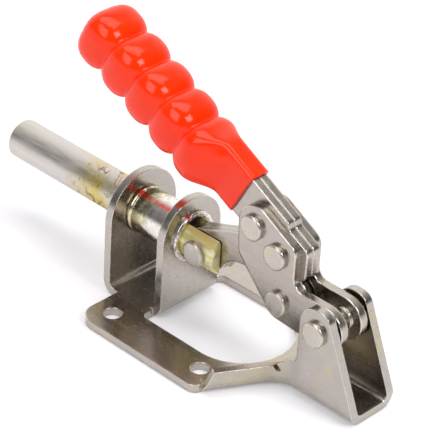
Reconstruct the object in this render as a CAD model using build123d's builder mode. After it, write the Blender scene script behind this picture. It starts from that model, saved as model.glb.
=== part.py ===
from build123d import *
import os

# Horizontal push-pull toggle clamp. A lever swings over a fixed rear pivot and, through a curved
# link, pushes a round plunger along a sleeve that is held in two upright ears of the base.
# Frame: X runs from the plunger tip to the rear clevis, Y away from the near side, Z up.
# The origin lies between the four mounting holes, on the underside of the base.

# Base frame, one bent sheet
sheet = 2.5
inner_bend = 2.0
outer_bend = inner_bend + sheet
base_width = 58.0
base_front = -24.3
base_rear = 22.9
hole_spacing_x = 35.0
hole_spacing_y = 43.0
mount_hole = 5.5
opening_width = 32.1
opening_front = -11.3
opening_rear_centre = 12.0
front_ear_x = -27.8
front_ear_width = 25.8
inner_ear_x = -8.4
inner_ear_width = 22.9
ear_top = 36.4

# Rear neck and clevis of the base frame
flange_start = (26.2, -25.2)
flange_end = (34.8, -10.1)
flange_height = 7.4
flange_slope = ((-3.8, -1.0), (2.1, 12.0))
plate_corner_gap = 0.8
clevis_half = 8.65
clevis_front = 40.65
clevis_rear = 61.2
clevis_top = 30.65
neck_fillet = 7.0
relief_centre = (34.9, 7.6)
relief_length = 4.2
relief_width = 1.1
relief_turn = -62
ear_relief = 2.0
opening_corner = 2.3
plate_front_corner = 6.0
plate_rear_corner = 2.8

# Plunger and guide sleeve
plunger_radius = 6.0
plunger_tip = -80.2
plunger_rear = 5.1
plunger_z = 24.1
end_chamfer = 0.6
thread_radius = 3.4
thread_depth = 20.0
thread_chamfer = 0.7
drill_point = 2.0
slot_half = 2.6
slot_front = -16.0
sleeve_radius = 7.0
sleeve_play = 0.06
lip_radius = 7.8
lip_chamfer = 0.4
bore_chamfer = 0.3
bead_height = 0.4
bead_length = 1.6
sleeve_front = -31.9
sleeve_rear = -7.3

# Pivots, as (x, z)
rear_pivot = (46.2, 23.3)
link_pivot = (29.4, 23.05)
middle_joint = (27.75, 37.2)
upper_joint = (18.8, 42.25)
plunger_pivot = (-1.5, plunger_z)

# Lever and link plates
lever_plate = 2.6
link_plate = 2.3
side_out = 2 * lever_plate
lever_slope = 28.0
shank = 2.5
head = 3.8
head_height = 1.5
head_chamfer = 0.4
fork_seat = 5.8
seat_gap = 0.2
collar_radius = 3.4
collar_height = 0.8
running = 0.05
pin_clearance = 0.3

# Side plate outline, as (corner, corner radius) in X and Z
side_outline = [
    ((14.0, 32.1), 4.0), ((12.8, 53.5), 6.3), ((34.4, 41.75), 4.0), ((34.4, 29.8), 3.5),
    ((52.7, 29.8), 6.5), ((52.7, 16.45), 6.4), ((27.2, 17.8), 5.35),
]

# Link, as circles of (centre, radius), and the way of the plunger's pin out of its hooked end
link_front_radius = 6.2
link_rear_radius = 6.6
link_crown = ((14.0, 31.1), 5.0)
link_hollow = ((14.1, 16.9), 9.3)
pin_path = [(0, 0), (2.3, -2.45), (4.5, -8.0), (-1.8, -8.0), (-1.2, -2.9)]

# Moulded grip, placed along the lever from the rear pivot
lobe_radius = 9.45
lobe_pitch = 10.75
lobe_count = 5
lobe_valley = 1.2
grip_tilt = 1.7
lobe_start = -59.0
lobe_rise = 3.8
neck_half = 3.8
neck_mouth = -42.0
neck_top = 14.0
neck_bottom = -1.9
neck_lower_top = 2.5
neck_wider_bottom = 1.5
neck_top_round = 2.3
neck_bottom_round = 0.8
neck_blend = 3.0
tang_start = -45.0
tang_end = -98.0
tang_step = 3.0

# Handle plate outline along the lever from the rear pivot, with a narrower tang inside the grip
handle_profile = [
    ((-17.0, 11.2), 2.5), ((-25.0, 11.2), 1.5), ((-26.7, 12.8), 1.5), ((tang_start, 12.8), 0.8),
    ((tang_start - tang_step, 10.6), 0.8), ((tang_end, 7.2), 3.0), ((tang_end, -1.2), 3.0),
    ((tang_start - tang_step, 1.2), 0.8), ((tang_start, -1.3), 0.8), ((-17.5, -0.9), 2.0),
    ((-12.8, 2.9), 2.0),
]

# Longer than the clamp, for cuts that go right through
reach = 100.0

# Sketch plane of the lever: its x axis runs down the lever to the rear, its y axis up across it
down_lever = Vector(1, 0, 0).rotate(Axis.Y, lever_slope)
lever_plane = Plane(origin=(rear_pivot[0], 0, rear_pivot[1]), x_dir=down_lever, z_dir=(0, -1, 0))

# Axis of the grip's lobes, from the lobe beside the neck to the front end
grip_start = lever_plane.from_local_coords(Vector(lobe_start, lobe_rise, 0))
grip_axis = Axis(grip_start, down_lever.rotate(Axis.Y, 180 - grip_tilt))
grip_plane = Plane(origin=grip_start, x_dir=grip_axis.direction, z_dir=(0, 1, 0))

# Plane and axis of the plunger's profile
plunger_plane = Plane(origin=(0, 0, plunger_z), x_dir=(1, 0, 0), z_dir=(0, -1, 0))
plunger_axis = Axis((0, 0, plunger_z), (1, 0, 0))


def across(x, z):
    """The axis that runs across the clamp through a pivot."""
    return Axis((x, 0, z), (0, 1, 0))


def closed_outline(outline):
    """A closed line from (corner, corner radius) pairs."""
    corners, radii = zip(*outline)
    return FilletPolyline(*corners, radius=list(radii), close=True)


def rivet(pivot, half_width):
    """A shank with a flat head at each end, its rim chamfered, across the clamp."""
    x, z = pivot
    crown = half_width + head_height
    with BuildPart() as body:
        with BuildSketch(Plane(origin=(x, 0, z), x_dir=(1, 0, 0), z_dir=(0, 0, 1))):
            with BuildLine():
                edge = Polyline(
                    (shank, 0), (shank, half_width), (head, half_width), (head, crown - head_chamfer),
                    (head - head_chamfer, crown), (0, crown),
                )
                mirror(edge, about=Plane.XZ)
                Line((0, crown), (0, -crown))
            make_face()
        revolve(axis=across(x, z))
    return body.part


def ear(bend_x, width, toward):
    """An upright ear with its bend, as a strip of sheet whose top is a half circle."""
    face = bend_x
    back = face + toward * sheet
    foot = face - toward * inner_bend
    foot_end = foot - toward * sheet
    with BuildPart() as body:
        with BuildSketch(Plane.XZ):
            with BuildLine():
                Polyline((foot_end, 0), (foot, 0))
                TangentArc((foot, 0), (back, outer_bend), tangent=(toward, 0))
                Polyline((back, outer_bend), (back, ear_top), (face, ear_top), (face, outer_bend))
                TangentArc((face, outer_bend), (foot, sheet), tangent=(0, -1))
                Polyline((foot, sheet), (foot_end, sheet), (foot_end, 0))
            make_face()
        extrude(amount=width / 2, both=True)
        with BuildSketch(Plane.YZ):
            with Locations((0, ear_top - width / 2)):
                Circle(width / 2)
            with Locations((0, ear_top / 2 - width / 4)):
                Rectangle(width, ear_top - width / 2)
        extrude(amount=reach, both=True, mode=Mode.INTERSECT)
        with BuildSketch(Plane.YZ):
            with Locations((0, plunger_z)):
                Circle(sleeve_radius)
        extrude(amount=reach, both=True, mode=Mode.SUBTRACT)
    return body.part


def neck_block(inset, floor, front, rear, bottom_fillet):
    """The space inside the flange and clevis faces, set in by a distance, with rounded lower edges."""
    start = Vector(*flange_start)
    along = (Vector(*flange_end) - start).normalized()
    inward = Vector(-along.Y, along.X)
    point = start + inward * inset
    wall = -clevis_half + inset
    corner = point + along * ((wall - point.Y) / along.Y)
    outer = point + along * ((front - point.X) / along.X)
    with BuildPart() as body:
        with BuildSketch(Plane.XY.offset(floor)):
            with BuildLine():
                near = FilletPolyline(outer, corner, (rear, wall), radius=neck_fillet + inset)
                mirror(near, about=Plane.XZ)
                Line((rear, wall), (rear, -wall))
                Line(outer, (outer.X, -outer.Y))
            make_face()
        extrude(amount=reach)
        # the two long lower edges, not the ends on the centre line
        lower = body.edges().group_by(Axis.Z)[0]
        sides = lower.filter_by(lambda edge: abs(edge.center().Y) > sheet)
        fillet(sides, radius=bottom_fillet)
    return body.part


# Base frame: flat plate with its opening, two ears, side flanges and clevis, all one sheet
flange_line = (Vector(*flange_end) - Vector(*flange_start)).normalized()
flange_outward = Vector(flange_line.Y, -flange_line.X)
flange_foot = Vector(*flange_start) - flange_outward * outer_bend
plate_foot = flange_foot - flange_line * sheet
plate_end = flange_foot + flange_line * clevis_half * 2

# side view of the flanges and of the two clevis walls, as (corner, corner radius)
neck_side = [
    ((opening_rear_centre, flange_height), 0), ((34.6, flange_height), 0.4), ((35.6, 8.8), 1.5),
    ((clevis_front, 11.6), 2.0), ((clevis_front, clevis_top), 5.6), ((50.05, clevis_top), 3.7),
    ((clevis_rear, 4.2), 3.0), ((clevis_rear, -sheet), 0), ((opening_rear_centre, -sheet), 0),
]

# the slanted front end of the near flange, as the space to be cut away in front of it
with BuildPart() as flange_cut:
    flange_face = Plane(
        origin=(*flange_start, 0),
        x_dir=(flange_line.X, flange_line.Y, 0),
        z_dir=(flange_outward.X, flange_outward.Y, 0),
    )
    with BuildSketch(flange_face):
        with BuildLine():
            Polyline(
                (-reach, flange_slope[0][1]), flange_slope[0], flange_slope[1], (-reach, flange_slope[1][1]),
                close=True,
            )
        make_face()
    extrude(amount=outer_bend, both=True)

with BuildPart() as neck:
    add(neck_block(0, 0, base_rear - inner_bend, clevis_rear, outer_bend))
    add(neck_block(sheet, sheet, 0, clevis_rear + outer_bend, inner_bend), mode=Mode.SUBTRACT)
    with BuildSketch(Plane.XZ):
        with BuildLine():
            closed_outline(neck_side)
        make_face()
    extrude(amount=reach, both=True, mode=Mode.INTERSECT)
    # relief slots end the flanges, and the rear pivot passes through both walls
    with BuildSketch(Plane.XZ):
        with Locations(relief_centre):
            SlotOverall(relief_length, relief_width, rotation=relief_turn)
        with Locations(rear_pivot):
            Circle(shank)
    extrude(amount=reach, both=True, mode=Mode.SUBTRACT)
    add(flange_cut.part, mode=Mode.SUBTRACT)
    add(flange_cut.part.mirror(Plane.XZ), mode=Mode.SUBTRACT)

with BuildPart() as base_frame:
    with BuildSketch():
        with BuildLine():
            near_edge = FilletPolyline(
                (base_front, 0), (base_front, -base_width / 2), (base_rear, -base_width / 2),
                (base_rear, flange_start[1] - plate_corner_gap), plate_foot, plate_end,
                radius=[plate_front_corner, plate_rear_corner, 0, 0],
            )
            mirror(near_edge, about=Plane.XZ)
            Line(plate_end, (plate_end.X, -plate_end.Y))
        make_face()
    extrude(amount=sheet)
    add(neck.part)
    # central opening, with a relief on each side of the inner ear
    with BuildSketch():
        with BuildLine():
            near_side = FilletPolyline(
                (opening_front, 0), (opening_front, -opening_width / 2),
                (opening_rear_centre, -opening_width / 2), radius=opening_corner,
            )
            mirror(near_side, about=Plane.XZ)
            ThreePointArc(
                (opening_rear_centre, -opening_width / 2),
                (opening_rear_centre + opening_width / 2, 0),
                (opening_rear_centre, opening_width / 2),
            )
        make_face()
        with Locations((inner_ear_x - outer_bend + ear_relief / 2, 0)):
            Rectangle(ear_relief, inner_ear_width)
    extrude(amount=sheet, mode=Mode.SUBTRACT)
    add(ear(front_ear_x, front_ear_width, -1))
    add(ear(inner_ear_x - sheet, inner_ear_width, 1))
    with GridLocations(hole_spacing_x, hole_spacing_y, 2, 2):
        Hole(mount_hole / 2)

# Guide sleeve: a tube through both ears, its two ends rolled over against them, with a bead behind
# the front ear
bore = plunger_radius + sleeve_play
front_face = front_ear_x - sheet
with BuildPart() as guide_sleeve:
    with BuildSketch(plunger_plane):
        with BuildLine():
            Polyline(
                (front_ear_x, sleeve_radius), (front_face, sleeve_radius), (front_face, lip_radius),
                (sleeve_front + lip_chamfer, lip_radius), (sleeve_front, lip_radius - lip_chamfer),
                (sleeve_front, bore + bore_chamfer), (sleeve_front + bore_chamfer, bore),
                (sleeve_rear - bore_chamfer, bore), (sleeve_rear, bore + bore_chamfer),
                (sleeve_rear, lip_radius - lip_chamfer), (sleeve_rear - lip_chamfer, lip_radius),
                (inner_ear_x, lip_radius), (inner_ear_x, sleeve_radius),
                (front_ear_x + bead_length, sleeve_radius),
            )
            ThreePointArc(
                (front_ear_x + bead_length, sleeve_radius),
                (front_ear_x + bead_length / 2, sleeve_radius + bead_height),
                (front_ear_x, sleeve_radius),
            )
        make_face()
    revolve(axis=plunger_axis)

# Plunger: a round bar, tapped at its tip, with a fork at its rear end for the link
slot_round = slot_front + slot_half
slot_mouth = plunger_rear + sheet
with BuildPart() as plunger:
    with BuildSketch(plunger_plane):
        with BuildLine():
            Polyline(
                (plunger_tip, thread_radius + thread_chamfer), (plunger_tip, plunger_radius - end_chamfer),
                (plunger_tip + end_chamfer, plunger_radius), (plunger_rear - end_chamfer, plunger_radius),
                (plunger_rear, plunger_radius - end_chamfer), (plunger_rear, 0),
                (plunger_tip + thread_depth + drill_point, 0), (plunger_tip + thread_depth, thread_radius),
                (plunger_tip + thread_chamfer, thread_radius), close=True,
            )
        make_face()
    revolve(axis=plunger_axis)
    with BuildSketch(Plane.XY):
        with BuildLine():
            slot_side = Line((slot_round, -slot_half), (slot_mouth, -slot_half))
            mirror(slot_side, about=Plane.XZ)
            Line((slot_mouth, -slot_half), (slot_mouth, slot_half))
            ThreePointArc((slot_round, -slot_half), (slot_front, 0), (slot_round, slot_half))
        make_face()
    extrude(amount=reach, mode=Mode.SUBTRACT)
    # pin hole, and a flat on each cheek for the rivet head to sit on
    for side in (-1, 1):
        with BuildSketch(Plane.XZ.offset(side * fork_seat)):
            with Locations(plunger_pivot):
                Circle(head + seat_gap)
        extrude(amount=side * head_height, mode=Mode.SUBTRACT)
    with BuildSketch(Plane.XZ):
        with Locations(plunger_pivot):
            Circle(shank)
    extrude(amount=reach, both=True, mode=Mode.SUBTRACT)


def side_plate(side):
    """One of the two outer plates of the lever, with a drawn collar round the rear pivot hole."""
    with BuildPart() as body:
        with BuildSketch(Plane.XZ.offset(side * lever_plate)):
            with BuildLine():
                closed_outline(side_outline)
            make_face()
            with Locations(link_pivot, middle_joint, upper_joint):
                Circle(shank, mode=Mode.SUBTRACT)
        extrude(amount=side * lever_plate)
        with BuildSketch(Plane.XZ.offset(side * (lever_plate - collar_height))):
            with Locations(rear_pivot):
                Circle(collar_radius)
        extrude(amount=side * collar_height)
        with BuildSketch(Plane.XZ):
            with Locations(rear_pivot):
                Circle(shank + running)
        extrude(amount=side * reach, mode=Mode.SUBTRACT)
    return body.part


def handle_plate(side):
    """One of the two inner plates of the lever, which run forward into the grip."""
    with BuildPart() as body:
        with BuildSketch(lever_plane):
            with BuildLine():
                closed_outline(handle_profile)
            make_face()
        extrude(amount=side * lever_plate)
        with BuildSketch(Plane.XZ):
            with Locations(middle_joint, upper_joint):
                Circle(shank)
        extrude(amount=side * reach, mode=Mode.SUBTRACT)
    return body.part


def bar_outline(first, second):
    """The outline of a bar with round ends of two radii, each end as (centre, radius)."""
    with BuildSketch() as outline:
        for centre, radius in (first, second):
            with Locations(centre):
                Circle(radius)
        make_hull()
    return outline.sketch


def link_sheet(side):
    """One of the two curved plates of the link, hooked over the plunger's pin at its front end."""
    with BuildSketch() as hook:
        with BuildLine():
            Polyline([(plunger_pivot[0] + x, plunger_pivot[1] + z) for x, z in pin_path], close=True)
        make_face()
        offset(amount=shank + pin_clearance)
    with BuildPart() as body:
        with BuildSketch(Plane.XZ):
            add(bar_outline((plunger_pivot, link_front_radius), link_crown))
            add(bar_outline(link_crown, (link_pivot, link_rear_radius)))
            with Locations(link_hollow[0]):
                Circle(link_hollow[1], mode=Mode.SUBTRACT)
            add(hook.sketch, mode=Mode.SUBTRACT)
            with Locations(link_pivot):
                Circle(shank + running, mode=Mode.SUBTRACT)
        extrude(amount=side * link_plate)
    return body.part


# Flat neck of the grip, which takes the handle plates
with BuildPart() as grip_neck:
    with BuildSketch(lever_plane):
        with BuildLine():
            Polyline(
                (neck_mouth, neck_bottom), (neck_mouth, neck_top), (lobe_start, neck_top - neck_lower_top),
                (lobe_start, neck_bottom - neck_wider_bottom), close=True,
            )
        make_face()
    extrude(amount=neck_half, both=True)
    neck_length = 0.95 * (neck_mouth - lobe_start)
    long_edges = grip_neck.edges().filter_by(lambda edge: edge.length > neck_length).sort_by(Axis.Z)
    fillet(long_edges[-2:], radius=neck_top_round)
    fillet(long_edges[:2], radius=neck_bottom_round)

# Grip: a row of round lobes on one axis, run together with the neck, with a pocket for the plates
with BuildPart() as grip:
    with BuildSketch(grip_plane) as lobes:
        for lobe in range(lobe_count):
            with Locations((lobe * lobe_pitch, 0)):
                Circle(lobe_radius)
        with Locations((0, -reach / 2)):
            Rectangle(2 * reach, reach, mode=Mode.SUBTRACT)
        valleys = [point for point in lobes.vertices() if point.Y > lobe_valley]
        fillet(valleys, radius=lobe_valley)
    revolve(axis=grip_axis)
    add(grip_neck.part)
    fillet(grip.edges(Select.NEW), radius=neck_blend)
    with BuildSketch(lever_plane):
        with BuildLine():
            closed_outline(handle_profile)
        make_face()
    extrude(amount=lever_plate, both=True, mode=Mode.SUBTRACT)

pieces = {
    "base_frame": base_frame.part,
    "guide_sleeve": guide_sleeve.part,
    "rear_pivot_rivet": rivet(rear_pivot, clevis_half),
    "plunger": plunger.part,
    "plunger_rivet": rivet(plunger_pivot, fork_seat),
    "link_plate_near": link_sheet(1),
    "link_plate_far": link_sheet(-1),
    "link_rivet": rivet(link_pivot, side_out),
    "side_plate_near": side_plate(1),
    "side_plate_far": side_plate(-1),
    "middle_rivet": rivet(middle_joint, side_out),
    "upper_rivet": rivet(upper_joint, side_out),
    "handle_plate_near": handle_plate(1),
    "handle_plate_far": handle_plate(-1),
    "grip": grip.part,
}
os.makedirs("parts", exist_ok=True)
for name, piece in pieces.items():
    piece.label = name
    export_step(piece, f"parts/{name}.step")
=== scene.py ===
import math
import bmesh
import bpy
from mathutils import Matrix, Vector


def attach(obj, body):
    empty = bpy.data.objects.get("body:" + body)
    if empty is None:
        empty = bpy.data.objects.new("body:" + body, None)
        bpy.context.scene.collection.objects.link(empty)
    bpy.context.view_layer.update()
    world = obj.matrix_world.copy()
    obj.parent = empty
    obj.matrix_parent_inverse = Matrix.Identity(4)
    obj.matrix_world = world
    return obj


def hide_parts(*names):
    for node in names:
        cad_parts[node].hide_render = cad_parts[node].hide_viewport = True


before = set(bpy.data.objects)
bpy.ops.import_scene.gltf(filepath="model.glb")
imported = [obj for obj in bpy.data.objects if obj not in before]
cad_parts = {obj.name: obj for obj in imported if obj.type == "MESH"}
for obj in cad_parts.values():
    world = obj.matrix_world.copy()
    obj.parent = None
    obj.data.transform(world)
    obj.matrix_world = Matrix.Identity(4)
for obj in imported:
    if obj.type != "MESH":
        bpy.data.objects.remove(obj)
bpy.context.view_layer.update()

mm = 0.001


# helpers that put nodes into the tree of a material or a group

def newMaterial(name):
    mat = bpy.data.materials.new(name)
    mat.use_nodes = True
    nodes = mat.node_tree.nodes
    nodes.clear()
    out = nodes.new("ShaderNodeOutputMaterial")
    shader = nodes.new("ShaderNodeBsdfPrincipled")
    mat.node_tree.links.new(shader.outputs[0], out.inputs[0])
    return mat, shader


def newGroup(name, inputs, outputs):
    # inputs and outputs are {socket name: kind}
    tree = bpy.data.node_groups.new(name, "ShaderNodeTree")
    for label, kind in inputs.items():
        tree.interface.new_socket(name=label, in_out="INPUT", socket_type="NodeSocket" + kind)
    for label, kind in outputs.items():
        tree.interface.new_socket(name=label, in_out="OUTPUT", socket_type="NodeSocket" + kind)
    return tree, tree.nodes.new("NodeGroupInput"), tree.nodes.new("NodeGroupOutput")


def useGroup(tree, group, **values):
    node = tree.nodes.new("ShaderNodeGroup")
    node.node_tree = group
    for label, value in values.items():
        setInput(tree, node, label, value)
    return node


def setInput(tree, node, label, value):
    socket = node.inputs[label]
    if isinstance(value, bpy.types.NodeSocket):
        tree.links.new(value, socket)
    else:
        socket.default_value = value


def addNode(tree, kind, values=None, **settings):
    node = tree.nodes.new("ShaderNode" + kind)
    for key, value in settings.items():
        setattr(node, key, value)
    for label, value in (values or {}).items():
        setInput(tree, node, label, value)
    return node


def math2(tree, operation, first, second=0.0):
    return addNode(tree, "Math", {0: first, 1: second}, operation=operation).outputs[0]


def ramp(tree, value, edges, start=0.0, end=1.0):
    # a soft step from start to end, as the value goes from the first edge to the second
    return addNode(tree, "MapRange", {"Value": value, "From Min": edges[0], "From Max": edges[1],
                                      "To Min": start, "To Max": end},
                   interpolation_type="SMOOTHSTEP").outputs[0]


def mixColor(tree, amount, first, second, blend="MIX"):
    node = addNode(tree, "Mix", data_type="RGBA", blend_type=blend)
    setInput(tree, node, 0, amount)
    setInput(tree, node, 6, first)
    setInput(tree, node, 7, second)
    return node.outputs[2]


def noise(tree, vector, scale, detail=3.0, rough=0.55, distortion=0.0):
    return addNode(tree, "TexNoise", {"Vector": vector, "Scale": scale, "Detail": detail,
                                      "Roughness": rough, "Distortion": distortion}).outputs["Fac"]


def stretch(tree, vector, scale):
    return addNode(tree, "Mapping", {"Vector": vector, "Scale": scale}).outputs[0]


def objectPlace(tree):
    return addNode(tree, "TexCoord").outputs["Object"]


def setSurface(tree, shader, look, color, rough, normal, height):
    # the bump lies over the normal that the rounded edges give
    bump = addNode(tree, "Bump", {"Strength": look["bump"], "Distance": look["bumpDepth"],
                                  "Normal": normal, "Height": height})
    setInput(tree, shader, "Base Color", color)
    setInput(tree, shader, "Roughness", rough)
    setInput(tree, shader, "Normal", bump.outputs[0])


# effects that several finishes share

edgeLook = {"samples": 8, "turn": (0.995, 0.85)}  # turn is the cosine between the two normals
grainLook = {
    "grain": {"detail": 4.0, "rough": 0.6},
    "pits": {"scale": 2600.0, "detail": 2.0, "rough": 0.5},
}
tintLook = {
    "broad": {"detail": 4.0, "rough": 0.6, "distortion": 0.6}, "yellowEdges": (0.50, 0.72),
    "lilacStretch": (1.3, 1.0, 0.8), "lilacFiner": 1.7, "lilacEdges": (0.54, 0.74),
    "cloud": {"scale": 260.0, "detail": 5.0, "rough": 0.65},
}
cloudEdges = (0.3, 0.7)  # a cloud or grain goes from its low to its high value between these


def makeEdgeGroup():
    # rounded edges, as a normal, and a mask of where they are
    tree, into, out = newGroup("roundedEdge", {"Radius": "Float"}, {"Normal": "Vector", "Edge": "Float"})
    bevel = addNode(tree, "Bevel", {"Radius": into.outputs["Radius"]}, samples=edgeLook["samples"])
    geometry = addNode(tree, "NewGeometry")
    facing = addNode(tree, "VectorMath", {0: bevel.outputs[0], 1: geometry.outputs["Normal"]},
                     operation="DOT_PRODUCT")
    tree.links.new(bevel.outputs[0], out.inputs["Normal"])
    tree.links.new(ramp(tree, facing.outputs["Value"], edgeLook["turn"]), out.inputs["Edge"])
    return tree


def makeGrainGroup():
    # rolled or drawn grain along one direction, with fine pits
    tree, into, out = newGroup("rolledGrain", {"Along": "Vector", "Scale": "Float"},
                               {"Grain": "Float", "Pits": "Float"})
    place = objectPlace(tree)
    run = addNode(tree, "VectorMath", {0: place, 1: into.outputs["Along"]}, operation="MULTIPLY")
    grain = noise(tree, run.outputs[0], into.outputs["Scale"], **grainLook["grain"])
    tree.links.new(grain, out.inputs["Grain"])
    tree.links.new(noise(tree, place, **grainLook["pits"]), out.inputs["Pits"])
    return tree


def makeTarnishGroup():
    # broad soft patches of yellow and lilac tint, as left by a passivated plating
    look = tintLook
    tree, into, out = newGroup("platingTint", {"Scale": "Float", "Amount": "Float"},
                               {"Yellow": "Float", "Lilac": "Float", "Cloud": "Float"})
    place = objectPlace(tree)
    broad = noise(tree, place, into.outputs["Scale"], **look["broad"])
    finer = math2(tree, "MULTIPLY", into.outputs["Scale"], look["lilacFiner"])
    other = noise(tree, stretch(tree, place, look["lilacStretch"]), finer)
    yellow = math2(tree, "MULTIPLY", ramp(tree, broad, look["yellowEdges"]), into.outputs["Amount"])
    lilac = math2(tree, "MULTIPLY", ramp(tree, other, look["lilacEdges"]), into.outputs["Amount"])
    tree.links.new(yellow, out.inputs["Yellow"])
    tree.links.new(lilac, out.inputs["Lilac"])
    tree.links.new(noise(tree, place, **look["cloud"]), out.inputs["Cloud"])
    return tree


def makeBandGroup():
    # a soft band between two places along X
    tree, into, out = newGroup("bandAlongX", {"Start": "Float", "End": "Float", "Soft": "Float"},
                               {"Band": "Float"})
    x = addNode(tree, "SeparateXYZ", {"Vector": objectPlace(tree)}).outputs[0]
    start, end, soft = (into.outputs[label] for label in ("Start", "End", "Soft"))
    rise = addNode(tree, "MapRange", {"Value": x, "From Min": start,
                                      "From Max": math2(tree, "ADD", start, soft)})
    fall = addNode(tree, "MapRange", {"Value": x, "From Min": math2(tree, "SUBTRACT", end, soft),
                                      "From Max": end, "To Min": 1.0, "To Max": 0.0})
    tree.links.new(math2(tree, "MULTIPLY", rise.outputs[0], fall.outputs[0]), out.inputs["Band"])
    return tree


roundedEdge = makeEdgeGroup()
rolledGrain = makeGrainGroup()
platingTint = makeTarnishGroup()
bandAlongX = makeBandGroup()


def addBand(tree, band, soft):
    return useGroup(tree, bandAlongX, Start=band[0], End=band[1], Soft=soft).outputs["Band"]


# bent sheet and stamped plates: what both share, then each on its own

flatStock = {
    "grainScale": 700.0, "tintScale": 95.0, "rearBand": (0.0150, 0.0800), "rearSoft": 0.012, "wearAndHighlight": 0.75,
    "shade": (0.95, 1.03), "grainShare": 0.6, "cloudShare": 0.4, "roughEdges": (0.32, 0.68),
    "pitShare": 0.5, "bump": 0.25, "bumpDepth": 0.00005,
}
# the pale colour goes on the rounded edges: partly wear, partly a painted highlight
sheetSteel = {
    "color": (0.455, 0.42, 0.38, 1), "paleWearAndHighlight": (0.78, 0.74, 0.67, 1), "yellow": (0.53, 0.465, 0.24, 1),
    "lilac": (0.50, 0.41, 0.43, 1), "rough": (0.19, 0.30), "edge": 0.00045, "grain": (0.06, 1.0, 1.0),
    "tint": 0.30, "rearTint": 0.75,
}
plateSteel = {
    "color": (0.44, 0.402, 0.36, 1), "paleWearAndHighlight": (0.84, 0.79, 0.70, 1), "yellow": (0.48, 0.43, 0.26, 1),
    "lilac": (0.44, 0.39, 0.40, 1), "rough": (0.19, 0.30), "edge": 0.0008, "grain": (0.08, 1.0, 1.0),
    "tint": 0.35, "rearTint": 0.35,
}


def makeSheetMaterial(name, look):
    mat, shader = newMaterial(name)
    tree = mat.node_tree
    edge = useGroup(tree, roundedEdge, Radius=look["edge"])
    grain = useGroup(tree, rolledGrain, Along=look["grain"], Scale=flatStock["grainScale"])
    rear = addBand(tree, flatStock["rearBand"], flatStock["rearSoft"])
    amount = ramp(tree, rear, (0.0, 1.0), look["tint"], look["rearTint"])
    plate = useGroup(tree, platingTint, Scale=flatStock["tintScale"], Amount=amount)
    color = mixColor(tree, plate.outputs["Yellow"], look["color"], look["yellow"])
    color = mixColor(tree, plate.outputs["Lilac"], color, look["lilac"])
    # paler rounded edges: partly wear, partly a painted highlight along them
    wearAndHighlight = math2(tree, "MULTIPLY", edge.outputs["Edge"], flatStock["wearAndHighlight"])
    color = mixColor(tree, wearAndHighlight, color, look["paleWearAndHighlight"])
    shade = ramp(tree, plate.outputs["Cloud"], cloudEdges, *flatStock["shade"])
    gray = addNode(tree, "CombineColor", {0: shade, 1: shade, 2: shade}).outputs[0]
    color = mixColor(tree, 1.0, color, gray, "MULTIPLY")
    wear = math2(tree, "ADD", math2(tree, "MULTIPLY", grain.outputs["Grain"], flatStock["grainShare"]),
                 math2(tree, "MULTIPLY", plate.outputs["Cloud"], flatStock["cloudShare"]))
    rough = ramp(tree, wear, flatStock["roughEdges"], *look["rough"])
    pits = math2(tree, "MULTIPLY", grain.outputs["Pits"], flatStock["pitShare"])
    height = math2(tree, "ADD", grain.outputs["Grain"], pits)
    setSurface(tree, shader, flatStock, color, rough, edge.outputs["Normal"], height)
    shader.inputs["Metallic"].default_value = 1.0
    return mat


# the rim colour goes on the heads' rounded edges: partly wear, partly a painted highlight
rivetSteel = {
    "color": (0.52, 0.485, 0.44, 1), "yellow": (0.56, 0.50, 0.30, 1), "rim": (0.80, 0.76, 0.58, 1),
    "edge": 0.0007, "wearAndHighlight": 0.8, "rough": (0.24, 0.36), "grain": (1.0, 1.0, 1.0), "grainScale": 500.0,
    "tint": 0.35, "tintScale": 190.0, "bump": 0.2, "bumpDepth": 0.00008,
}


def makeRivetMaterial():
    look = rivetSteel
    mat, shader = newMaterial("rivetSteel")
    tree = mat.node_tree
    edge = useGroup(tree, roundedEdge, Radius=look["edge"])
    plate = useGroup(tree, platingTint, Scale=look["tintScale"], Amount=look["tint"])
    grain = useGroup(tree, rolledGrain, Along=look["grain"], Scale=look["grainScale"])
    color = mixColor(tree, plate.outputs["Yellow"], look["color"], look["yellow"])
    # paler rims: partly wear, partly a painted highlight round the heads
    wearAndHighlight = math2(tree, "MULTIPLY", edge.outputs["Edge"], look["wearAndHighlight"])
    color = mixColor(tree, wearAndHighlight, color, look["rim"])
    rough = ramp(tree, plate.outputs["Cloud"], cloudEdges, *look["rough"])
    setSurface(tree, shader, look, color, rough, edge.outputs["Normal"], grain.outputs["Grain"])
    shader.inputs["Metallic"].default_value = 1.0
    return mat


# drawn bar, with rust in front of the sleeve and yellow zinc on the end behind it
plungerBar = {
    "color": (0.62, 0.59, 0.555, 1), "yellow": (0.60, 0.49, 0.13, 1), "brown": (0.23, 0.095, 0.0, 1),
    "zinc": (0.74, 0.66, 0.22, 1), "zincPale": (0.92, 0.88, 0.60, 1),
    "edge": 0.0003, "grain": (0.18, 1.0, 1.0), "grainScale": 1100.0, "rough": (0.34, 0.48),
    "tint": 0.6, "tintScale": 120.0, "tintShare": 0.25,
    "stainBand": (-0.0560, -0.0260), "stainSoft": 0.016, "brownRough": 0.25, "brownDull": 0.7,
    "zincBand": (-0.0100, 0.0070), "zincSoft": 0.002, "zincEdges": (0.25, 0.6), "zincCover": (0.75, 1.0),
    "zincDull": 0.45, "streakStretch": (0.25, 1.0, 1.0), "streakEdges": (0.44, 0.66),
    "streaks": {"scale": 420.0, "detail": 4.0, "rough": 0.6}, "bump": 0.5, "bumpDepth": 0.00010,
}
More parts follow.
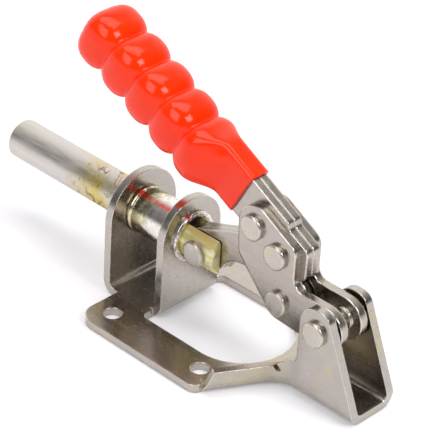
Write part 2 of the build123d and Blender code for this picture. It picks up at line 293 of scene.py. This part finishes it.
rustLook = {
    "spots": {"scale": 330.0, "detail": 5.0, "rough": 0.7, "distortion": 1.2}, "spotEdges": (0.58, 0.65),
    "curl": {"scale": 150.0, "detail": 2.0, "rough": 0.5, "distortion": 1.5},
    "curlStretch": (1.0, 0.6, 0.6), "curlMiddle": 0.5, "lineWidth": (0.014, 0.042),
    "patches": {"scale": 90.0, "detail": 2.0}, "patchEdges": (0.46, 0.58),
    "breaks": {"scale": 330.0, "detail": 2.0}, "breakEdges": (0.44, 0.54),
    "haloScale": 110.0, "haloEdges": (0.38, 0.56),
}


def makeRust(tree, place, band):
    # brown spots and broken curling lines, and the yellow halo that spreads round them
    look = rustLook
    spots = ramp(tree, noise(tree, place, **look["spots"]), look["spotEdges"])
    curl = noise(tree, stretch(tree, place, look["curlStretch"]), **look["curl"])
    offLine = math2(tree, "ABSOLUTE", math2(tree, "SUBTRACT", curl, look["curlMiddle"]))
    lines = ramp(tree, offLine, look["lineWidth"], 1.0, 0.0)
    patches = ramp(tree, noise(tree, place, **look["patches"]), look["patchEdges"])
    breaks = ramp(tree, noise(tree, place, **look["breaks"]), look["breakEdges"])
    lines = math2(tree, "MULTIPLY", math2(tree, "MULTIPLY", lines, patches), breaks)
    brown = math2(tree, "MULTIPLY", math2(tree, "MAXIMUM", spots, lines), band)
    spread = ramp(tree, noise(tree, place, look["haloScale"]), look["haloEdges"])
    return brown, math2(tree, "MULTIPLY", band, spread)


def makePlungerMaterial():
    look = plungerBar
    mat, shader = newMaterial("plungerBar")
    tree = mat.node_tree
    edge = useGroup(tree, roundedEdge, Radius=look["edge"])
    grain = useGroup(tree, rolledGrain, Along=look["grain"], Scale=look["grainScale"])
    plate = useGroup(tree, platingTint, Scale=look["tintScale"], Amount=look["tint"])
    stain = addBand(tree, look["stainBand"], look["stainSoft"])
    zinc = addBand(tree, look["zincBand"], look["zincSoft"])
    place = objectPlace(tree)
    brown, halo = makeRust(tree, place, stain)
    tint = math2(tree, "MULTIPLY", plate.outputs["Yellow"], look["tintShare"])
    color = mixColor(tree, tint, look["color"], look["yellow"])
    color = mixColor(tree, halo, color, look["yellow"])
    color = mixColor(tree, brown, color, look["brown"])
    streaks = noise(tree, stretch(tree, place, look["streakStretch"]), **look["streaks"])
    zincTone = mixColor(tree, ramp(tree, streaks, look["streakEdges"]), look["zinc"], look["zincPale"])
    cover = ramp(tree, plate.outputs["Cloud"], look["zincEdges"], *look["zincCover"])
    color = mixColor(tree, math2(tree, "MULTIPLY", zinc, cover), color, zincTone)
    rough = ramp(tree, grain.outputs["Grain"], cloudEdges, *look["rough"])
    rough = math2(tree, "ADD", rough, math2(tree, "MULTIPLY", brown, look["brownRough"]))
    dull = math2(tree, "MAXIMUM", math2(tree, "MULTIPLY", brown, look["brownDull"]),
                 math2(tree, "MULTIPLY", zinc, look["zincDull"]))
    setSurface(tree, shader, look, color, rough, edge.outputs["Normal"], grain.outputs["Grain"])
    setInput(tree, shader, "Metallic", math2(tree, "SUBTRACT", 1.0, dull))
    return mat


# bright speckled tube, with a yellow band towards its front
sleeveTube = {
    "color": (0.80, 0.765, 0.72, 1), "yellow": (0.66, 0.58, 0.28, 1), "speck": (0.27, 0.27, 0.29, 1),
    "edge": 0.0004, "grain": (1.0, 0.05, 0.05), "grainScale": 700.0, "rough": (0.15, 0.27),
    "tint": 0.4, "tintScale": 150.0, "yellowBand": (-0.0300, -0.0190), "yellowSoft": 0.003,
    "yellowShare": 0.75, "specks": {"scale": 800.0, "detail": 4.0, "rough": 0.7}, "speckEdges": (0.46, 0.60),
    "patches": {"scale": 75.0, "detail": 2.0}, "patchEdges": (0.40, 0.62), "patchCover": (0.2, 0.8),
    "bump": 0.12, "bumpDepth": 0.00005,
}


def makeSleeveMaterial():
    look = sleeveTube
    mat, shader = newMaterial("sleeveTube")
    tree = mat.node_tree
    edge = useGroup(tree, roundedEdge, Radius=look["edge"])
    plate = useGroup(tree, platingTint, Scale=look["tintScale"], Amount=look["tint"])
    grain = useGroup(tree, rolledGrain, Along=look["grain"], Scale=look["grainScale"])
    band = addBand(tree, look["yellowBand"], look["yellowSoft"])
    color = mixColor(tree, plate.outputs["Yellow"], look["color"], look["yellow"])
    color = mixColor(tree, math2(tree, "MULTIPLY", band, look["yellowShare"]), color, look["yellow"])
    place = objectPlace(tree)
    specks = ramp(tree, noise(tree, place, **look["specks"]), look["speckEdges"])
    patches = ramp(tree, noise(tree, place, **look["patches"]), look["patchEdges"], *look["patchCover"])
    color = mixColor(tree, math2(tree, "MULTIPLY", specks, patches), color, look["speck"])
    rough = ramp(tree, plate.outputs["Cloud"], cloudEdges, *look["rough"])
    setSurface(tree, shader, look, color, rough, edge.outputs["Normal"], grain.outputs["Grain"])
    shader.inputs["Metallic"].default_value = 1.0
    return mat


# glossy moulded plastic
gripPlastic = {
    "color": (1.0, 0.034, 0.0005, 1), "deep": (0.98, 0.027, 0.0, 1), "cloudScale": 45.0,
    "deepEdges": (0.35, 0.65), "edge": 0.0002, "rough": (0.12, 0.17), "specular": 0.3,
    "fine": {"scale": 700.0, "detail": 2.0}, "waves": {"scale": 120.0, "detail": 2.0},
    "bump": 0.15, "bumpDepth": 0.0002,
}


def makeGripMaterial():
    look = gripPlastic
    mat, shader = newMaterial("gripPlastic")
    tree = mat.node_tree
    edge = useGroup(tree, roundedEdge, Radius=look["edge"])
    place = objectPlace(tree)
    cloud = ramp(tree, noise(tree, place, look["cloudScale"]), look["deepEdges"])
    color = mixColor(tree, cloud, look["deep"], look["color"])
    rough = ramp(tree, noise(tree, place, **look["fine"]), cloudEdges, *look["rough"])
    setSurface(tree, shader, look, color, rough, edge.outputs["Normal"], noise(tree, place, **look["waves"]))
    shader.inputs["Specular IOR Level"].default_value = look["specular"]
    return mat


materials = {
    "sheet": makeSheetMaterial("platedSheet", sheetSteel),
    "plates": makeSheetMaterial("platedPlates", plateSteel),
    "rivet": makeRivetMaterial(),
    "plunger": makePlungerMaterial(),
    "sleeve": makeSleeveMaterial(),
    "grip": makeGripMaterial(),
}
nodeFinish = {
    "base_frame": "sheet", "guide_sleeve": "sleeve", "plunger": "plunger", "grip": "grip",
    "side_plate_near": "plates", "side_plate_far": "plates", "handle_plate_near": "plates",
    "handle_plate_far": "plates", "link_plate_near": "plates", "link_plate_far": "plates",
    "rear_pivot_rivet": "rivet", "plunger_rivet": "rivet", "link_rivet": "rivet",
    "middle_rivet": "rivet", "upper_rivet": "rivet",
}
for nodeName, finish in nodeFinish.items():
    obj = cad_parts[nodeName]
    for slot in obj.material_slots:
        slot.material = materials[finish]
print("finishes done", len(materials))


# the grip's own mesh, a squarish oval moulding with finger lobes that runs into a flat neck;
# lengths are in mm, and along, up and across are the lever's own directions

gripShape = {
    "pivot": (46.2, 23.3), "slope": 28.0, "tilt": 1.7,             # slope and tilt in degrees
    "firstLobe": (-59.0, 3.8), "pitch": 10.75, "lobes": 5, "lobePower": 2.5, "valleySoft": 0.22,
    "wide": (8.9, 7.4), "above": (8.3, 6.5), "below": (9.5, 7.2),  # at a lobe and in a valley
    "power": 3.1, "frontLength": 7.0, "frontPower": 2.8, "frontRings": 25,
    "neckMouth": -42.0, "neckHalf": 3.8, "neckTop": 14.0, "neckBottom": -1.9, "neckPower": 6.0,
    "topBlend": (2.0, -6.0), "sideBlend": (-0.5, -11.0), "topFrom": (-0.2, 0.7),
    "pocketHalf": 2.65, "pocketTop": 12.9, "pocketBottom": -1.4, "pocketPower": 12.0, "pocketDeep": 3.0,
    "around": 112, "step": 0.2,
}


def gripPoint(look, along, up, across):
    # from the lever's own directions, in mm, to the world in metres
    slope = math.radians(look["slope"])
    x = look["pivot"][0] + along * math.cos(slope) + up * math.sin(slope)
    z = look["pivot"][1] - along * math.sin(slope) + up * math.cos(slope)
    return Vector((x, across, z)) * mm


def lobeWave(look, place):
    # 1 on a lobe, 0 in a valley, with the valley's bottom rounded off
    offsets = (-1.0, -0.5, 0.0, 0.5, 1.0)
    total = 0.0
    for offset in offsets:
        x = (place + offset * look["valleySoft"]) / look["pitch"]
        x = min(max(x, 0.0), look["lobes"] - 1.0)
        half = 2.0 * abs(x - round(x))
        total += 1.0 - half ** look["lobePower"]
    return total / len(offsets)


def ovalPoint(angle, wide, above, below, power):
    c, s = math.cos(angle), math.sin(angle)
    y = math.copysign(abs(c) ** (2.0 / power), c) * wide
    u = math.copysign(abs(s) ** (2.0 / power), s) * (above if s > 0 else below)
    return y, u


def smoothStep(value, start, end):
    x = min(max((value - start) / (end - start), 0.0), 1.0)
    return x * x * (3.0 - 2.0 * x)


def gripRing(look, place, shrink):
    # place is the distance in front of the first lobe's middle; towards the mouth the section
    # goes over to the neck's, at the top sooner than at the sides and below
    wave = lobeWave(look, place)
    sizes = (look["wide"], look["above"], look["below"])
    wide, above, below = (valley + (lobe - valley) * wave for lobe, valley in sizes)
    tilt = math.radians(look["tilt"])
    along = look["firstLobe"][0] - place * math.cos(tilt)
    middle = look["firstLobe"][1] - max(place, 0.0) * math.sin(tilt)
    flatTop = smoothStep(place, *look["topBlend"])
    flatSide = smoothStep(place, *look["sideBlend"])
    neckMiddle = (look["neckTop"] + look["neckBottom"]) / 2
    neckHigh = (look["neckTop"] - look["neckBottom"]) / 2
    ring = []
    for index in range(look["around"]):
        angle = 2 * math.pi * index / look["around"]
        y, u = ovalPoint(angle, wide * shrink, above * shrink, below * shrink, look["power"])
        neckY, neckU = ovalPoint(angle, look["neckHalf"], neckHigh, neckHigh, look["neckPower"])
        high = smoothStep(math.sin(angle), *look["topFrom"])
        flat = flatSide + (flatTop - flatSide) * high
        y = y * (1 - flat) + neckY * flat
        u = (u + middle) * (1 - flat) + (neckU + neckMiddle) * flat
        ring.append(gripPoint(look, along, u, y))
    return ring


def pocketRing(look, depth):
    # the pocket in the mouth, which takes the handle plates
    high = (look["pocketTop"] - look["pocketBottom"]) / 2
    middle = (look["pocketTop"] + look["pocketBottom"]) / 2
    ring = []
    for index in range(look["around"]):
        angle = 2 * math.pi * index / look["around"]
        y, u = ovalPoint(angle, look["pocketHalf"], high, high, look["pocketPower"])
        ring.append(gripPoint(look, look["neckMouth"] - depth, u + middle, y))
    return ring


def gripPlaces(look):
    # each ring's place and how far it is drawn in, from the mouth to the rounded front end
    front = (look["lobes"] - 1) * look["pitch"]
    rear = look["firstLobe"][0] - look["neckMouth"]
    steps = int((front - rear) / look["step"])
    places = [(rear + (front - rear) * index / steps, 1.0) for index in range(steps + 1)]
    power = 2.0 / look["frontPower"]
    for index in range(1, look["frontRings"]):
        turn = math.pi / 2 * index / look["frontRings"]
        places.append((front + look["frontLength"] * math.sin(turn) ** power, math.cos(turn) ** power))
    return places


def makeGrip():
    look = gripShape
    mesh = bmesh.new()
    outlines = [gripRing(look, place, shrink) for place, shrink in gripPlaces(look)]
    rings = [[mesh.verts.new(point) for point in outline] for outline in outlines]
    for depth in (0.0, look["pocketDeep"]):
        rings.insert(0, [mesh.verts.new(point) for point in pocketRing(look, depth)])
    for first, second in zip(rings, rings[1:]):
        for index in range(look["around"]):
            following = (index + 1) % look["around"]
            mesh.faces.new((first[index], first[following], second[following], second[index]))
    mesh.faces.new(rings[-1])
    mesh.faces.new(reversed(rings[0]))
    bmesh.ops.recalc_face_normals(mesh, faces=mesh.faces)
    for face in mesh.faces:
        face.smooth = True
    data = bpy.data.meshes.new("gripMoulding")
    mesh.to_mesh(data)
    mesh.free()
    data.materials.append(materials["grip"])
    grip = bpy.data.objects.new("gripMoulding", data)
    bpy.context.collection.objects.link(grip)
    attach(grip, "lever")
    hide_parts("grip")


makeGrip()
print("grip done")


# a white paper floor, the room round it, three lamps and the camera

floorLook = {"size": 6.0, "below": 0.00005, "color": (0.86, 0.855, 0.885, 1), "glow": 0.17,
             "farGlow": 0.95, "farEdge": (0.30, 1.0)}


def makeFloor():
    look = floorLook
    half = look["size"] / 2
    corners = [(-half, -half, 0), (half, -half, 0), (half, half, 0), (-half, half, 0)]
    mesh = bpy.data.meshes.new("floor")
    mesh.from_pydata(corners, [], [(0, 1, 2, 3)])
    floor = bpy.data.objects.new("floor", mesh)
    floor.location.z = -look["below"]
    bpy.context.collection.objects.link(floor)
    mat = bpy.data.materials.new("floorPaper")
    mat.use_nodes = True
    tree = mat.node_tree
    tree.nodes.clear()
    seen = addNode(tree, "LightPath")
    # the lamps reach only the middle of the floor, so it glows more further out
    away = addNode(tree, "VectorMath", {0: objectPlace(tree)}, operation="LENGTH").outputs["Value"]
    level = ramp(tree, away, look["farEdge"], look["glow"], look["farGlow"])
    direct = math2(tree, "MAXIMUM", seen.outputs["Is Camera Ray"], seen.outputs["Is Glossy Ray"])
    direct = math2(tree, "MAXIMUM", direct, seen.outputs["Is Transmission Ray"])
    glow = math2(tree, "MULTIPLY", direct, level)
    paper = addNode(tree, "BsdfDiffuse", {"Color": look["color"]})
    light = addNode(tree, "Emission", {"Color": (1, 1, 1, 1), "Strength": glow})
    both = addNode(tree, "AddShader", {0: paper.outputs[0], 1: light.outputs[0]})
    out = addNode(tree, "OutputMaterial")
    tree.links.new(both.outputs[0], out.inputs[0])
    mesh.materials.append(mat)


# the room: white low down all round and to the camera, bright on the far side from it up to
# high above, with a weak glow from -X, and dark elsewhere
studioRoom = {"toward": (-0.67, 0.74, 0.0), "dark": (0.055, 0.057, 0.065, 1), "white": (1, 1, 1, 1),
              "bright": (1.38, 1.34, 1.32, 1), "leftGlow": (0.17, 0.165, 0.165, 1),
              "leftEdge": (-0.10, -0.65), "lowEdge": (0.06, 0.20), "highEdge": (0.60, 0.92),
              "sideEdge": (0.0, 0.75)}


def makeWorld():
    look = studioRoom
    world = bpy.data.worlds.new("studio")
    world.use_nodes = True
    tree = world.node_tree
    tree.nodes.clear()
    direction = addNode(tree, "TexCoord").outputs["Generated"]
    parts = addNode(tree, "SeparateXYZ", {"Vector": direction}).outputs
    toward = addNode(tree, "VectorMath", {0: direction, 1: look["toward"]}, operation="DOT_PRODUCT")
    low = ramp(tree, parts[2], look["lowEdge"], 1.0, 0.0)
    high = ramp(tree, parts[2], look["highEdge"], 1.0, 0.0)
    side = ramp(tree, toward.outputs["Value"], look["sideEdge"])
    left = ramp(tree, parts[0], look["leftEdge"])
    seen = addNode(tree, "LightPath").outputs["Is Camera Ray"]
    level = mixColor(tree, left, look["dark"], look["leftGlow"])
    level = mixColor(tree, math2(tree, "MULTIPLY", high, side), level, look["bright"])
    level = mixColor(tree, math2(tree, "MAXIMUM", low, seen), level, look["white"])
    back = addNode(tree, "Background", {"Color": level, "Strength": 1.0})
    out = addNode(tree, "OutputWorld")
    tree.links.new(back.outputs[0], out.inputs[0])
    bpy.context.scene.world = world


def aimAt(obj, target):
    obj.rotation_euler = (Vector(target) - obj.location).to_track_quat("-Z", "Y").to_euler()


softBoxes = {
    "overhead": {"place": (-0.09, 0.12, 0.80), "size": (0.70, 0.40), "power": 2.7},
    "front": {"place": (0.02, -0.56, 0.60), "size": (0.42, 0.66), "power": 2.9},
    "right": {"place": (0.57, 0.08, 0.58), "size": (0.34, 0.34), "power": 3.0},
}
lampTarget = (0, 0, 0.03)


def makeLights():
    for name, box in softBoxes.items():
        data = bpy.data.lights.new(name, "AREA")
        data.shape = "RECTANGLE"
        data.size, data.size_y = box["size"]
        data.energy = box["power"]
        lamp = bpy.data.objects.new(name, data)
        lamp.location = box["place"]
        bpy.context.collection.objects.link(lamp)
        aimAt(lamp, lampTarget)


viewPoint = {"azimuth": 42.3, "elevation": 32.41, "roll": 3.54, "distance": 0.61197,
             "target": (-0.00305, 0.00539, 0.02955), "focalPixels": 2181.8, "imagePixels": 440,
             "sensor": 36.0, "nearest": 0.01, "furthest": 20.0}


def makeCamera():
    look = viewPoint
    azimuth, elevation, roll = (math.radians(look[key]) for key in ("azimuth", "elevation", "roll"))
    back = Vector((math.sin(azimuth) * math.cos(elevation), -math.cos(azimuth) * math.cos(elevation),
                   math.sin(elevation)))
    right = Vector((math.cos(azimuth), math.sin(azimuth), 0))
    up = back.cross(right)
    axes = (right * math.cos(roll) + up * math.sin(roll), up * math.cos(roll) - right * math.sin(roll), back)
    data = bpy.data.cameras.new("camera")
    data.sensor_width = look["sensor"]
    data.lens = look["focalPixels"] * data.sensor_width / look["imagePixels"]
    data.clip_start = look["nearest"]
    data.clip_end = look["furthest"]
    camera = bpy.data.objects.new("camera", data)
    place = Matrix.Translation(Vector(look["target"]) + back * look["distance"])
    camera.matrix_world = place @ Matrix(axes).transposed().to_4x4()
    bpy.context.collection.objects.link(camera)
    bpy.context.scene.camera = camera


makeFloor()
makeWorld()
makeLights()
makeCamera()
bpy.context.scene.view_settings.view_transform = "Standard"
print("floor, light and camera done")
